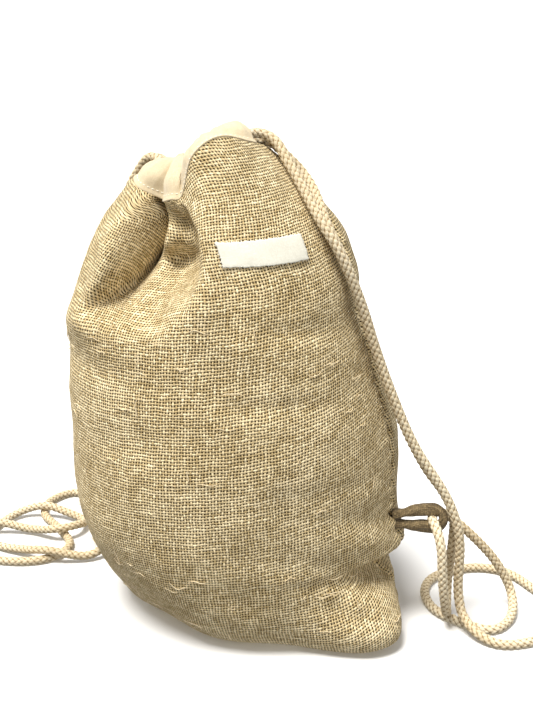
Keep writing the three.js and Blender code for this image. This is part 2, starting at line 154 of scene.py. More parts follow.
# Sharper gathers under the mouth: angle, degrees that it leans for each mm of height,
# spread before and after it, flatness, z, reach, and the push in x and y
PUSHED_FOLDS = {
    "slot beside the narrow lobe": (-138, 0, 11, 6, 2, 284, 36, (10, 46)),
    "full left lobe": (-153, 0, 8, 6, 2, 266, 30, (0, -11)),
    "steep neck": (-128, 0.32, 20, 16, 4, 248, 21, (5, 27)),
    "narrow lobe set back": (-121, 0, 10, 11, 4, 272, 26, (0, 11)),
}
SLOT_BOTTOM = -137

# Centre lines of the four free cord stretches, each from the casing to the tab it is looped through
F = FLOOR_LINE
RIGHT_LONG_ROUTE = [
    (7.4, -21.2, 340.4), (11, -17.2, 340.6), (16.4, -15, 341), (22.5, -15.8, 339.2), (28, -18.8, 335),
    (34, -25, 325), (41, -31.5, 314), (48, -39.5, 302), (55.5, -48.5, 289.5), (63.5, -53, 277.5),
    (71, -54, 263.5), (82.5, -51, 235.5), (92.5, -49, 205), (105.5, -49.5, 170.5), (120, -50.5, 138),
    (145, -51, 97), (153.5, -52, 71), (155, -52, 27), (158, -57, 13), (166, -70, 6.5),
    (180, -79, F), (204, -75, F), (224, -56, F),
    (230, -30, F), (219, -2, F), (205, 21, F), (186, 29, F),
    (163, 24, F), (145, 10, F), (138, -10, F), (142, -33, F),
    (157, -50, F), (178, -61, F), (194, -46, 4), (199, -24, 11), (187, -22, 35),
    (164, -26, 62), (148, -28, 76), (138.5, -34, 81.5), (135.3, -44.7, 82.2),
]
RIGHT_SHORT_ROUTE = [
    (15.4, 1.2, 332.6), (16.4, -3.6, 334.6), (20, -7.6, 335.4), (25.4, -9.8, 333.6), (32.8, -10.4, 326.8),
    (44, -11, 315.5), (52, -22, 304.5), (57.5, -37, 291), (64, -45, 277), (71, -46.5, 263),
    (77, -45.5, 248.5), (82.5, -43.5, 234), (92, -41, 205), (105, -42, 170), (118, -43, 140),
    (130.5, -42.5, 117), (142.5, -42.5, 100), (150.2, -43, 83), (151, -40, 58), (150.5, -32, 28),
    (149.8, -36, 15), (148.5, -46, 10.7), (146.5, -56, 15.5), (144, -61.5, 27), (142, -64, 40),
    (140.8, -64.5, 53), (140, -63.5, 65.5), (138.2, -60, 75), (136, -53.5, 80.5), (135, -46.1, 81.9),
]
LEFT_LONG_ROUTE = [
    (-49.5, 3.2, 317.4), (-50.2, 8.6, 319.2), (-53.4, 13.6, 321.2), (-59.2, 18.9, 320.4),
    (-65.8, 24.6, 312), (-74, 30.5, 298), (-80, 43, 277.5), (-86.5, 52, 250.5), (-93.5, 58, 212),
    (-98, 63, 160), (-100, 66, 85), (-106, 54, 12), (-118, 46, 5), (-153, 43.5, 10.9), (-172, 54, 6),
    (-196, 67, F), (-206, 84, F), (-201, 106, F), (-186, 124, 6), (-167, 124, 10.8), (-148, 119, 7),
    (-131, 108, 4.5), (-135, 88, 10.2), (-150, 80, 10.8), (-174, 92, 5), (-206, 92, 10.9),
    (-223, 79, 4.5), (-222, 58, F), (-203, 45, F), (-166, 39, F),
    (-146, 47, F), (-137, 66, F), (-150, 95, F), (-167, 121, F),
    (-168, 147, F), (-150, 166, F), (-130, 150, F), (-120, 90, F),
    (-119, 67, 26), (-118.2, 61.7, 81.6),
]
LEFT_SHORT_ROUTE = [
    (-44.9, 19.8, 315.8), (-49.2, 20.2, 318.3), (-53.4, 23.3, 319.8), (-57.6, 28.3, 317.6),
    (-62, 34, 309), (-66.5, 38.5, 298), (-72, 52, 277.5), (-78.5, 61.5, 250), (-86, 68.5, 212),
    (-90, 74.5, 160), (-93, 76, 136), (-104, 76, 118), (-113.5, 70, 104), (-117.7, 63.8, 93),
    (-118.2, 61.7, 82.4),
]

# Free cord stretches with their lengths in metres
CORDS = {
    "right_cord_long": (RIGHT_LONG_ROUTE, 0.87),
    "right_cord_short": (RIGHT_SHORT_ROUTE, 0.48),
    "left_cord_long": (LEFT_LONG_ROUTE, 1.11),
    "left_cord_short": (LEFT_SHORT_ROUTE, 0.28),
}

# Hidden cord stretches: share of the casing's height, and the angles where they begin and end
CORD_RUNS = {
    "right_cord_run": (0.45, RIGHT_SEAM + CORD_DOOR, RIGHT_SEAM + 360 - CORD_DOOR),
    "left_cord_run": (0.73, LEFT_SEAM - 360 + CORD_DOOR, LEFT_SEAM - CORD_DOOR),
}


def make_camera():
    tilt = math.radians(CAMERA["elevation"])
    data = bpy.data.cameras.new("camera")
    data.sensor_width = CAMERA["sensor"]
    data.lens = CAMERA["lens"]
    camera = bpy.data.objects.new("camera", data)
    bpy.context.scene.collection.objects.link(camera)
    back = Vector((0, -math.cos(tilt), math.sin(tilt))) * CAMERA["distance"]
    camera.location = (Vector(CAMERA["target"]) + back) * MM
    camera.rotation_euler = (math.pi / 2 - tilt, 0, 0)
    bpy.context.scene.camera = camera


make_camera()


# Materials


class Shader:
    """A material with short words for its nodes."""

    def __init__(self, name, **sockets):
        self.material = bpy.data.materials.new(name)
        self.material.use_nodes = True
        self.tree = self.material.node_tree
        self.out = self.tree.nodes["Principled BSDF"]
        for key, value in sockets.items():
            self.out.inputs[key.replace("_", " ")].default_value = value

    def node(self, kind, inputs=(), **settings):
        made = self.tree.nodes.new(kind)
        for key, value in settings.items():
            setattr(made, key, value)
        for key, value in dict(inputs).items():
            self.feed(made.inputs[key], value)
        return made

    def feed(self, socket, value):
        if isinstance(value, bpy.types.NodeSocket):
            self.tree.links.new(value, socket)
        else:
            socket.default_value = value

    def math(self, operation, a, b=0.0, c=0.0):
        return self.node("ShaderNodeMath", {0: a, 1: b, 2: c}, operation=operation).outputs[0]

    def mix(self, share, a, b):
        """A colour between two others. The node's colours are its sockets 6 and 7."""
        return self.node("ShaderNodeMix", {0: share, 6: a, 7: b}, data_type="RGBA").outputs[2]

    def scaled(self, colour, share):
        """A colour times a number."""
        return self.node("ShaderNodeVectorMath", {0: colour, "Scale": share}, operation="SCALE").outputs[0]

    def ramp(self, value, low, high):
        limits = {0: value, 1: low, 2: high}
        return self.node("ShaderNodeMapRange", limits, interpolation_type="SMOOTHSTEP").outputs[0]

    def noise(self, place, scale, detail):
        return self.node("ShaderNodeTexNoise", {"Vector": place, "Scale": scale, "Detail": detail}).outputs

    def stretched_noise(self, u, v, stretch, detail):
        """Noise of two values, each with its own scale, in a layer of its own."""
        across, up, layer = stretch
        parts = {0: self.math("MULTIPLY", u, across), 1: self.math("MULTIPLY", v, up), 2: layer}
        place = self.node("ShaderNodeCombineXYZ", parts).outputs[0]
        return self.noise(place, 1.0, detail)["Fac"]

    def vary(self, value, noise, share):
        """A value moved up and down by a noise."""
        return self.math("MULTIPLY_ADD", self.math("SUBTRACT", noise, 0.5), share, value)

    def cloth_map(self):
        """The UV map 'cloth' as a place, and its two numbers."""
        place = self.node("ShaderNodeUVMap", uv_map="cloth").outputs[0]
        return place, self.node("ShaderNodeSeparateXYZ", {0: place}).outputs

    def bump(self, height, distance):
        made = self.node("ShaderNodeBump", {"Height": height, "Distance": distance, "Strength": 1.0})
        self.feed(self.out.inputs["Normal"], made.outputs[0])

    def colour(self, value):
        self.feed(self.out.inputs["Base Color"], value)


# The two sets of threads in a weave. tone and slub are noises: scale across, scale up and layer.
# The rest is where slubs begin, and how far they and the tone widen, lift and pale a thread.
WARP = {
    "tone": (7.31, 0.19, 0.0), "slub": (3.77, 0.15, 21.0), "slub_from": 0.66,
    "uneven": 2.4, "fat": 0.5, "lift": 0.12, "pale": 0.2,
}
WEFT = {
    "tone": (0.13, 5.17, 9.0), "slub": (0.09, 4.43, 33.0), "slub_from": 0.65,
    "uneven": 3.0, "fat": 0.7, "lift": 0.16, "pale": 0.25,
}
SLUB_FULL = 0.8
THREAD_EDGE = 0.12

# A thread's height: of its foot, of its round back, and of its way over and under the others
THREAD_FOOT = 0.42
THREAD_BACK = 0.3
THREAD_CRIMP = 0.28

# Noises over the whole weave, with scales in threads: wandering threads, slow patches, fibres and nubs
WANDER = {"scale": 0.16, "threads": 1.3}
PATCHES = {"scale": 0.035, "share": 0.4}
FIBRES = {"scale": 3.1, "share": 0.5, "relief": 0.15}
NUBS = 0.22
TONE_RANGE = (0.25, 0.85)

# Painted shade on the weave: how much a thread's height lightens it, and the darkness that this starts
# from, so threads that dip under the others are shaded darker
SHADE = {"rise": 0.9, "start": 0.62}


def weave_material(name, light, dark, hole, cover, relief, slub=0.2, contrast=1.0, **sockets):
    """A plain weave on the UV map 'cloth', which counts threads both ways, with painted shade on low
    threads and in the holes.
    """
    s = Shader(name, **sockets)
    m = s.math
    uv, flat = s.cloth_map()
    wander = s.noise(uv, WANDER["scale"], 2.0)["Color"]
    wander = s.node("ShaderNodeSeparateXYZ", {0: wander}).outputs
    u, v = [s.vary(flat[k], wander[k], WANDER["threads"]) for k in range(2)]
    warp, weft = m("FLOOR", u), m("FLOOR", v)
    across, along = m("SUBTRACT", m("FRACT", u), 0.5), m("SUBTRACT", m("FRACT", v), 0.5)
    odd = m("MODULO", m("ABSOLUTE", m("ADD", warp, weft)), 2.0)
    over = m("SUBTRACT", m("MULTIPLY", odd, 2.0), 1.0)

    def thread_set(kind, place, off_middle, on_the_way, crimp):
        """Tone, cover and height of one set of threads."""
        tone = s.stretched_noise(*place, kind["tone"], 2.0)
        fat = s.ramp(s.stretched_noise(*place, kind["slub"], 1.0), kind["slub_from"], SLUB_FULL)
        half = m("MULTIPLY_ADD", fat, kind["fat"] * slub, s.vary(cover, tone, kind["uneven"] * slub))
        share = m("DIVIDE", m("ABSOLUTE", off_middle), half)
        covers = s.ramp(share, 1 + THREAD_EDGE, 1 - THREAD_EDGE)
        back = m("SUBTRACT", 1.0, m("MULTIPLY", share, share))
        rise = m("MULTIPLY", over, m("COSINE", m("MULTIPLY", on_the_way, math.pi)))
        top = m("MULTIPLY_ADD", rise, crimp, m("MULTIPLY_ADD", back, THREAD_BACK, THREAD_FOOT))
        top = m("MULTIPLY", covers, m("MULTIPLY_ADD", fat, kind["lift"], top))
        return m("MULTIPLY_ADD", fat, kind["pale"], tone), covers, top

    warp_tone, warp_covers, warp_top = thread_set(WARP, (warp, v), across, along, THREAD_CRIMP)
    weft_tone, weft_covers, weft_top = thread_set(WEFT, (u, weft), along, across, -THREAD_CRIMP)
    height = m("MAXIMUM", warp_top, weft_top)
    on_top = m("GREATER_THAN", warp_top, weft_top)
    covered = m("MAXIMUM", warp_covers, weft_covers)
    # Colour by thread, with slow patches over the cloth, fibres, and a nub of its own at each crossing
    tone = s.node("ShaderNodeMix", {0: on_top, 2: weft_tone, 3: warp_tone}).outputs[0]
    tone = s.vary(tone, s.noise(uv, PATCHES["scale"], 3.0)["Fac"], PATCHES["share"])
    fibre = s.noise(uv, FIBRES["scale"], 3.0)["Fac"]
    tone = s.vary(tone, fibre, FIBRES["share"])
    crossing = s.node("ShaderNodeCombineXYZ", {0: warp, 1: weft}).outputs[0]
    nub = s.node("ShaderNodeTexWhiteNoise", {"Vector": crossing}).outputs["Value"]
    tone = s.vary(tone, nub, NUBS)
    # Painted shade: a thread is darker where it dips under the others and lighter where it lies on top
    shade = m("MULTIPLY_ADD", height, SHADE["rise"] * contrast, 1.0 - SHADE["start"] * contrast)
    thread = s.scaled(s.mix(s.ramp(tone, *TONE_RANGE), dark, light), shade)
    # The holes between threads take the hole colour, a painted shade of the dark inside behind the cloth
    s.colour(s.mix(covered, hole, thread))
    s.bump(m("ADD", m("MULTIPLY", fibre, FIBRES["relief"]), height), relief)
    return s.material


# Colours of the cords, with the painted shade of their crevices, and their noises: scale across, scale
# along and layer
STRAND_DARK = (0.61, 0.49, 0.305, 1)
STRAND_LIGHT = (0.84, 0.74, 0.54, 1)
STRAND_CREVICE_SHADE = (0.27, 0.17, 0.07, 1)
CORD_FIBRES = (3.0, 1.6, 0.0)
CORD_PATCHES = (0.1, 0.03, 4.0)

# How much the fibres change a cord's tone, the tones from dark to light, and the depths over which the
# painted shade of its crevices comes in
FIBRE_SHARE = 0.8
CORD_TONES = (0.2, 0.8)
CREVICE_SHADE_DEPTHS = (0.35, 0.95)
CORD_FUZZ = 0.0003

# Fibres of the sewing threads and loose strands: scale for each metre, tones and relief
THREAD_FIBRES = 900.0
THREAD_TONES = (0.3, 0.7)
THREAD_FUZZ = 0.0002


def cord_material():
    """Braided cotton, with painted shade between the strands, where the mesh's 'deep' is high."""
    look = {"Roughness": 0.9, "Specular_IOR_Level": 0.2, "Sheen_Weight": 0.08, "Sheen_Roughness": 0.5}
    s = Shader("braided_cotton", **look)
    deep = s.node("ShaderNodeAttribute", attribute_name="deep").outputs["Fac"]
    flat = s.cloth_map()[1]
    fibre = s.stretched_noise(flat[0], flat[1], CORD_FIBRES, 3.0)
    patch = s.stretched_noise(flat[0], flat[1], CORD_PATCHES, 2.0)
    tone = s.ramp(s.vary(patch, fibre, FIBRE_SHARE), *CORD_TONES)
    crevice_shade = s.ramp(deep, *CREVICE_SHADE_DEPTHS)
    s.colour(s.mix(crevice_shade, s.mix(tone, STRAND_DARK, STRAND_LIGHT), STRAND_CREVICE_SHADE))
    s.bump(fibre, CORD_FUZZ)
    return s.material


def thread_material(name, colour, other):
    """Sewing thread or a loose strand, in two colours that change over about a millimetre."""
    s = Shader(name, Roughness=0.85, Sheen_Weight=0.2)
    place = s.node("ShaderNodeTexCoord").outputs["Object"]
    fibre = s.noise(place, THREAD_FIBRES, 2.0)["Fac"]
    s.colour(s.mix(s.ramp(fibre, *THREAD_TONES), colour, other))
    s.bump(fibre, THREAD_FUZZ)
    return s.material


# The third colour of each weave is the painted shade seen through its holes
HEMP_CLOTH = weave_material(
    "hemp_cloth", (0.88, 0.735, 0.462, 1), (0.5, 0.37, 0.175, 1), (0.045, 0.025, 0.004, 1),
    cover=0.285, relief=0.0009, slub=0.12, contrast=1.1, Roughness=0.92, Specular_IOR_Level=0.12,
    Sheen_Weight=0.05, Sheen_Roughness=0.5,
)
TAB_CLOTH = weave_material(
    "tab_cloth", (0.27, 0.195, 0.095, 1), (0.12, 0.083, 0.037, 1), (0.015, 0.011, 0.006, 1),
    cover=0.43, relief=0.0006, Roughness=0.92, Sheen_Weight=0.1,
)
COTTON_CLOTH = weave_material(
    "cotton_cloth", (0.68, 0.57, 0.385, 1), (0.59, 0.48, 0.305, 1), (0.38, 0.28, 0.15, 1),
    cover=0.46, relief=0.0001, slub=0.05, contrast=0.35, Roughness=0.9, Sheen_Weight=0.2,
)
LABEL_CLOTH = weave_material(
    "label_cloth", (0.74, 0.72, 0.62, 1), (0.66, 0.635, 0.53, 1), (0.45, 0.4, 0.3, 1),
    cover=0.46, relief=0.00012, slub=0.05, contrast=0.35, Roughness=0.85, Sheen_Weight=0.15,
)
BRAID = cord_material()
WHITE_THREAD = thread_material("white_thread", (0.9, 0.86, 0.74, 1), (0.78, 0.72, 0.58, 1))
STRAW_THREAD = thread_material("straw_thread", (0.82, 0.69, 0.45, 1), (0.66, 0.52, 0.31, 1))


# Meshes


def make_piece(name, points, faces, material, uv=None, deep=None, replaces=()):
    """A smooth mesh on the root body from points in millimetres, with UVs by vertex."""
    mesh = bpy.data.meshes.new(name)
    points = (np.asarray(points, float) - MIDDLE) * MM
    mesh.from_pydata(points.tolist(), [], faces)
    mesh.polygons.foreach_set("use_smooth", [True] * len(mesh.polygons))
    if uv is not None:
        corner = np.zeros(len(mesh.loops), int)
        mesh.loops.foreach_get("vertex_index", corner)
        layer = mesh.uv_layers.new(name="cloth")
        layer.data.foreach_set("uv", np.asarray(uv, float)[corner].ravel())
    if deep is not None:
        mesh.attributes.new("deep", "FLOAT", "POINT").data.foreach_set("value", np.asarray(deep, float))
    mesh.materials.append(material)
    piece = bpy.data.objects.new(name, mesh)
    bpy.context.scene.collection.objects.link(piece)
    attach(piece, "root")
    if replaces:
        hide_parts(*replaces)
    return piece


def thicken(piece, thickness):
    """Give a sheet its thickness, inwards from its outer face."""
    solid = piece.modifiers.new("thickness", "SOLIDIFY")
    solid.thickness = thickness * MM
    solid.offset = -1.0


def grid_faces(columns, rows, start=0):
    """Quads of a grid whose points are stored column by column."""
    faces = []
    for i in range(columns - 1):
        for j in range(rows - 1):
            a = start + i * rows + j
            faces.append((a, a + rows, a + rows + 1, a + 1))
    return faces


def tube_faces(rings, sides, start=0):
    """Quads round a capped tube, with a middle point before the first ring and after the last."""
    faces = []
    first = start + 1
    end = first + rings * sides
    for k in range(sides):
        m = (k + 1) % sides
        faces.append((start, first + m, first + k))
        faces.append((end, end - sides + k, end - sides + m))
        for i in range(rings - 1):
            a, b = first + i * sides + k, first + i * sides + m
            faces.append((a, b, b + sides, a + sides))
    return faces


def full_turn(sides):
    """Angles of a ring's points, in radians."""
    return 2 * np.pi * np.arange(sides) / sides


# A direction that no line sets out along
ASIDE = (0.3, 0.2, 1.0)


def carried_frames(line):
    """Two side directions at each point of a line, carried along without twist."""
    ahead = np.gradient(line, axis=0)
    ahead /= np.linalg.norm(ahead, axis=1)[:, None]
    side = np.cross(ahead[0], ASIDE)
    sides = np.empty_like(line)
    for i, direction in enumerate(ahead):
        side = side - direction * (side @ direction)
        side /= np.linalg.norm(side)
        sides[i] = side
    return sides, np.cross(ahead, sides)


def tube_rings(line, radius, sides):
    """Rings of points round a line. radius has a row for each point of the line."""
    side, up = carried_frames(line)
    turn = full_turn(sides)
    circle = np.cos(turn)[None, :, None] * side[:, None] + np.sin(turn)[None, :, None] * up[:, None]
    return line[:, None] + radius[..., None] * circle


def capped(first, rows, last):
    """The rows of a tube's rings as one list, between the middle points of its two ends."""
    return np.vstack([[first], rows.reshape(-1, rows.shape[-1]), [last]])


def run_along(points, axis):
    """Arc length along one axis of a line or grid, from its first point."""
    step = np.linalg.norm(np.diff(points, axis=axis), axis=-1)
    start = np.zeros_like(np.take(step, [0], axis=axis))
    return np.concatenate([start, np.cumsum(step, axis=axis)], axis=axis)


def point_at(length, run, line):
    """Points of a line at given arc lengths."""
    return np.stack([np.interp(length, run, line[:, k]) for k in range(3)], axis=-1)


def even_steps(line, step):
    run = run_along(line, 0)
    count = max(2, round(run[-1] / step))
    return point_at(np.linspace(0, run[-1], count + 1), run, line)


def ease(share):
    """A share from 0 to 1 that starts and ends slowly."""
    return share * share * (3 - 2 * share)


def bell(share):
    return np.exp(-(share ** 2))


NOISE_CELLS = 64


def value_noise(u, v, seed):
    """Smooth noise from -1 to 1 on a grid of seeded values."""
    table = np.random.default_rng(seed).uniform(-1, 1, (NOISE_CELLS, NOISE_CELLS))
    i, j = np.floor(u).astype(int), np.floor(v).astype(int)
    s, t = ease(u - i), ease(v - j)
    at = lambda a, b: table[a % NOISE_CELLS, b % NOISE_CELLS]
    low = at(i, j) * (1 - s) + at(i + 1, j) * s
    high = at(i, j + 1) * (1 - s) + at(i + 1, j + 1) * s
    return low * (1 - t) + high * t


# Braided cords

# Steps between a route's points, rounds of smoothing, and which points of a cord's line make its path
ROUTE_STEPS = 16
ROUTE_SMOOTHING = 25

# The braid's mesh, and the size and relief of its strands
BRAID_SIDES = 32
BRAID_STRANDS = 4
BRAID_STEP = 0.8
BRAID_CELL = 4.6
BRAID_RELIEF = 0.75
BRAID_CROWN = 0.3
STRAND_ROUND = 0.4
LOWEST_STRAND = 0.05


def smooth_line(route):
    """A centripetal curve through a route's points, smoothed and in even steps."""
    p = np.array(route, float)
    p = np.vstack([2 * p[0] - p[1], p, 2 * p[-1] - p[-2]])
    line = []
    for a, b, c, d in zip(p, p[1:], p[2:], p[3:]):
        spans = [np.linalg.norm(y - x) ** 0.5 for x, y in ((a, b), (b, c), (c, d))]
        t = np.cumsum([0] + spans)
        for u in np.linspace(t[1], t[2], ROUTE_STEPS, endpoint=False):
            ab = a + (b - a) * (u - t[0]) / (t[1] - t[0])
            bc = b + (c - b) * (u - t[1]) / (t[2] - t[1])
            cd = c + (d - c) * (u - t[2]) / (t[3] - t[2])
            abc = ab + (bc - ab) * (u - t[0]) / (t[2] - t[0])
            bcd = bc + (cd - bc) * (u - t[1]) / (t[3] - t[1])
            line.append(abc + (bcd - abc) * (u - t[1]) / (t[2] - t[1]))
    line = even_steps(np.array(line + [p[-2]]), BRAID_STEP)
    for _ in range(ROUTE_SMOOTHING):
        line[1:-1] = (line[:-2] + 2 * line[1:-1] + line[2:]) / 4
    return even_steps(line, BRAID_STEP)


def add_braid(node, line, diameter):
    """A round braid along a line, in place of a cord's solid."""
    share = np.arange(BRAID_SIDES) / BRAID_SIDES
    along = np.arange(len(line))[:, None] * BRAID_STEP / BRAID_CELL
    one, other = BRAID_STRANDS * share + along, BRAID_STRANDS * share - along
    ridge_one, ridge_other = [np.sin(np.pi * (value - np.floor(value))) for value in (one, other)]
    first_on_top = (np.floor(one) + np.floor(other)) % 2 == 0
    top, under = np.where(first_on_top, (ridge_one, ridge_other), (ridge_other, ridge_one))
    height = top * (1 - STRAND_ROUND + STRAND_ROUND * under)
    rings = tube_rings(line, diameter / 2 + BRAID_CROWN + BRAID_RELIEF * (height - 1), BRAID_SIDES)
    rings[..., 2] = np.maximum(rings[..., 2], LOWEST_STRAND)
    uv = np.stack(np.broadcast_arrays(BRAID_STRANDS * share, along), axis=-1)
    uv = capped((0, 0), uv, (0, 0))
    # How deep each point lies between the strands, which the cord's material turns into painted shade
    deep = np.concatenate([[1], (1 - height).ravel(), [1]])
    points, faces = capped(line[0], rings, line[-1]), tube_faces(len(line), BRAID_SIDES)
    return make_piece(f"{node}_braid", points, faces, BRAID, uv, deep, [node])


def add_cord(node, route):
    line = smooth_line(route)
    piece = add_braid(node, line, CORD)


for cord_node, (cord_route, cord_length) in CORDS.items():
    add_cord(cord_node, cord_route)


# The surface of the bag


def heading(angle):
    turn = np.radians(angle)
    return np.stack([np.cos(turn), np.sin(turn), np.zeros_like(turn)], axis=-1)


def cubic(a, b, c, d, t):
    """The cubic through four equally spaced values, between the middle two."""
    return b + 0.5 * t * (c - a + t * (2 * a - 5 * b + 4 * c - d + t * (3 * (b - c) + d - a)))


def mouth_value(column, angle):
    """A column of the mouth's table at any angle, by a smooth curve through its rows."""
    turn = (angle - LEFT_SEAM) % 360 - 360 + LEFT_SEAM
    angles, values = MOUTH_ROWS[:, 0], MOUTH_ROWS[:, MOUTH_COLUMNS.index(column)]
    count = len(angles)
    k = np.searchsorted(angles, turn, side="right") - 1
    at = lambda i: angles[i % count] + 360 * (i // count)
    value = lambda i: values[i % count]
    slope = lambda i: (value(i + 1) - value(i - 1)) / (at(i + 1) - at(i - 1))
    width = at(k + 1) - at(k)
    t = (turn - at(k)) / width
    rise = value(k + 1) - value(k)
    first, last = slope(k) * width, slope(k + 1) * width
    return value(k) + t * (first + t * (3 * rise - 2 * first - last + t * (first + last - 2 * rise)))


def ring_point(name, angle):
    """A point of the mouth's hem or rim."""
    centre = [np.full_like(angle, place) for place in MOUTH_CENTRE]
    middle = np.stack(centre + [mouth_value(f"{name}_z", angle)], axis=-1)
    return middle + heading(angle) * mouth_value(name, angle)[..., None]


def level_point(level, angle):
    """A point of one level's outline, a rounded box with four half sizes."""
    out = heading(angle)
    across = np.where(out[..., 0] > 0, level["right"], level["left"])
    deep = np.where(out[..., 1] > 0, level["back"], level["front"])
    square = level["square"]
    share = np.abs(out[..., 0] / across) ** square + np.abs(out[..., 1] / deep) ** square
    return out * (share ** (-1 / square))[..., None] + np.array([level["x"], 0, level["z"]])


def turn_from(middle, angle):
    """Degrees from a middle angle, the short way round."""
    return (angle - middle + 180) % 360 - 180


def fold_depth(folds, angle, z):
    depth = np.zeros_like(z)
    for middle, spread, height, lean, reach, most in folds.values():
        turn = turn_from(middle, angle)
        depth += most * np.exp(-((turn / spread) ** 2) - ((z - height + lean * turn) / reach) ** 2)
    return depth


def body_point(angle, level):
    """A point of the hemp's outer face. level counts the rows of LEVELS, and the hem is the row after."""
    angle, level = np.broadcast_arrays(np.asarray(angle, float), np.asarray(level, float))
    rows = np.stack([level_point(each, angle) for each in LEVELS] + [ring_point("hem", angle)])
    last = len(rows) - 1
    k = np.minimum(np.floor(level).astype(int), last - 1)
    t = level - k
    row = lambda i: np.take_along_axis(rows, np.clip(i, 0, last)[None, ..., None], 0)[0]
    point = cubic(row(k - 1), row(k), row(k + 1), row(k + 2), t[..., None])
    free = np.where(k == last - 1, 1 - ease(t), 1)
    return point - (free * fold_depth(FOLDS, angle, point[..., 2]))[..., None] * heading(angle)


# Small steps on the cloth, in degrees and in levels
SMALL_TURN = 0.5
SMALL_RISE = 0.02


def cloth_spot(angle, level):
    """A point of the hemp and its normal."""
    here = body_point(angle, level)
    across = body_point(angle + SMALL_TURN, level) - here
    up = body_point(angle, level + SMALL_RISE) - here
    normal = np.cross(across, up)
    return here, normal / np.linalg.norm(normal, axis=-1)[..., None]


# The hemp panels

# Columns of each panel: first angle, last angle and steps. Then the rows from level to level and in
# the base, and the level that the weave is measured from
FRONT_SPANS = [
    (LEFT_SEAM - 360, -180, 20), (-180, -150, 32), (-150, -100, 92), (-100, -40, 66), (-40, RIGHT_SEAM, 26),
]
BACK_SPANS = [(RIGHT_SEAM, 0, 26), (0, 140, 170), (140, LEFT_SEAM, 24)]
ROW_STEPS = (3, 8, 18, 18, 16, 18, 17, 15, 14, 26)
BASE_ROWS = 14
MIDDLE_LEVEL = 5

# Where the relief runs out, in levels below the hem and in height, and the base's height above the floor
HEM_FADE = 0.25
FOOT_FADE = 9
LOWEST_CLOTH = 0.02

# Share of the warp's spacing that follows each row's own length, and not the middle row's
OWN_LENGTH = 0.85

# Unevenness of the hemp: height, length across and up, where the noise starts, and its seed
UNEVEN = [(0.7, 34, 27, (7, 3), 5), (0.35, 13, 11, (0, 0), 6)]

# A side seam's groove, the ridge beside it, and its puckers, which are strongest near the tab
GROOVE = {"deep": 2.4, "reach": 1.9}
RIDGE = {"high": 0.7, "distance": 6, "reach": 3}
PUCKER = {
    "high": 0.5, "more": 1.6, "height": 88, "spread": 26, "length": 12.5,
    "sway": 1.3, "sway_length": 31, "reach": 11,
}


def seam_shape(distance, run, z):
    """How far the cloth stands out near a side seam."""
    ripple = PUCKER["high"] + PUCKER["more"] * bell((z - PUCKER["height"]) / PUCKER["spread"])
    sway = PUCKER["sway"] * np.sin(run / PUCKER["sway_length"])
    wave = np.sin(2 * np.pi * run / PUCKER["length"] + sway)
    pucker = ripple * wave * bell(distance / PUCKER["reach"])
    ridge = RIDGE["high"] * bell((distance - RIDGE["distance"]) / RIDGE["reach"])
    return ridge + pucker - GROOVE["deep"] * bell(distance / GROOVE["reach"])


def crease_depth(angle, z):
    """A step that is sharp at its upper edge and runs out slowly below it."""
    middle, spread, height, lean, edge, reach, most = CREASE
    turn = turn_from(middle, angle)
    below = height - lean * turn - z
    step = ease(np.clip(below / edge + 0.5, 0, 1))
    return most * step * np.exp(-((turn / spread) ** 2) - (np.maximum(below, 0) / reach) ** 2)


def pushed(angle, z):
    """How far the sharper gathers push the cloth in x and y."""
    total = np.zeros(z.shape + (2,))
    for middle, lean, before, after, flat, height, reach, push in PUSHED_FOLDS.values():
        turn = angle - middle - lean * (z - height)
        spread = np.where(turn < 0, before, after)
        share = np.exp(-(np.abs(turn / spread) ** flat) - np.abs((z - height) / reach) ** flat)
        total += share[..., None] * np.array(push)
    return total


def panel_relief(angle, z, u, run_v, seam):
    """How far shallow folds, unevenness and the seams lift the cloth."""
    out = seam_shape(seam, run_v, z) - fold_depth(SOFT_FOLDS, angle, z) - crease_depth(angle, z)
    for high, wide, tall, (first, second), seed in UNEVEN:
        out += high * value_noise(u / wide + first, run_v / tall + second, seed)
    return out


def panel_grid(angles, levels):
    """The bag's surface, with rows across the flat base before those up the side."""
    side = body_point(angles[:, None], levels[None])
    shares = np.linspace(0, 1, BASE_ROWS, endpoint=False)[1:]
    base = side[:, :1] * shares[None, :, None]
    base[..., 2] = 0
    return np.concatenate([base, side], axis=1)


def grid_normals(points):
    normal = np.cross(np.gradient(points, axis=0), np.gradient(points, axis=1))
    return normal / np.maximum(np.linalg.norm(normal, axis=-1), 1e-9)[..., None]


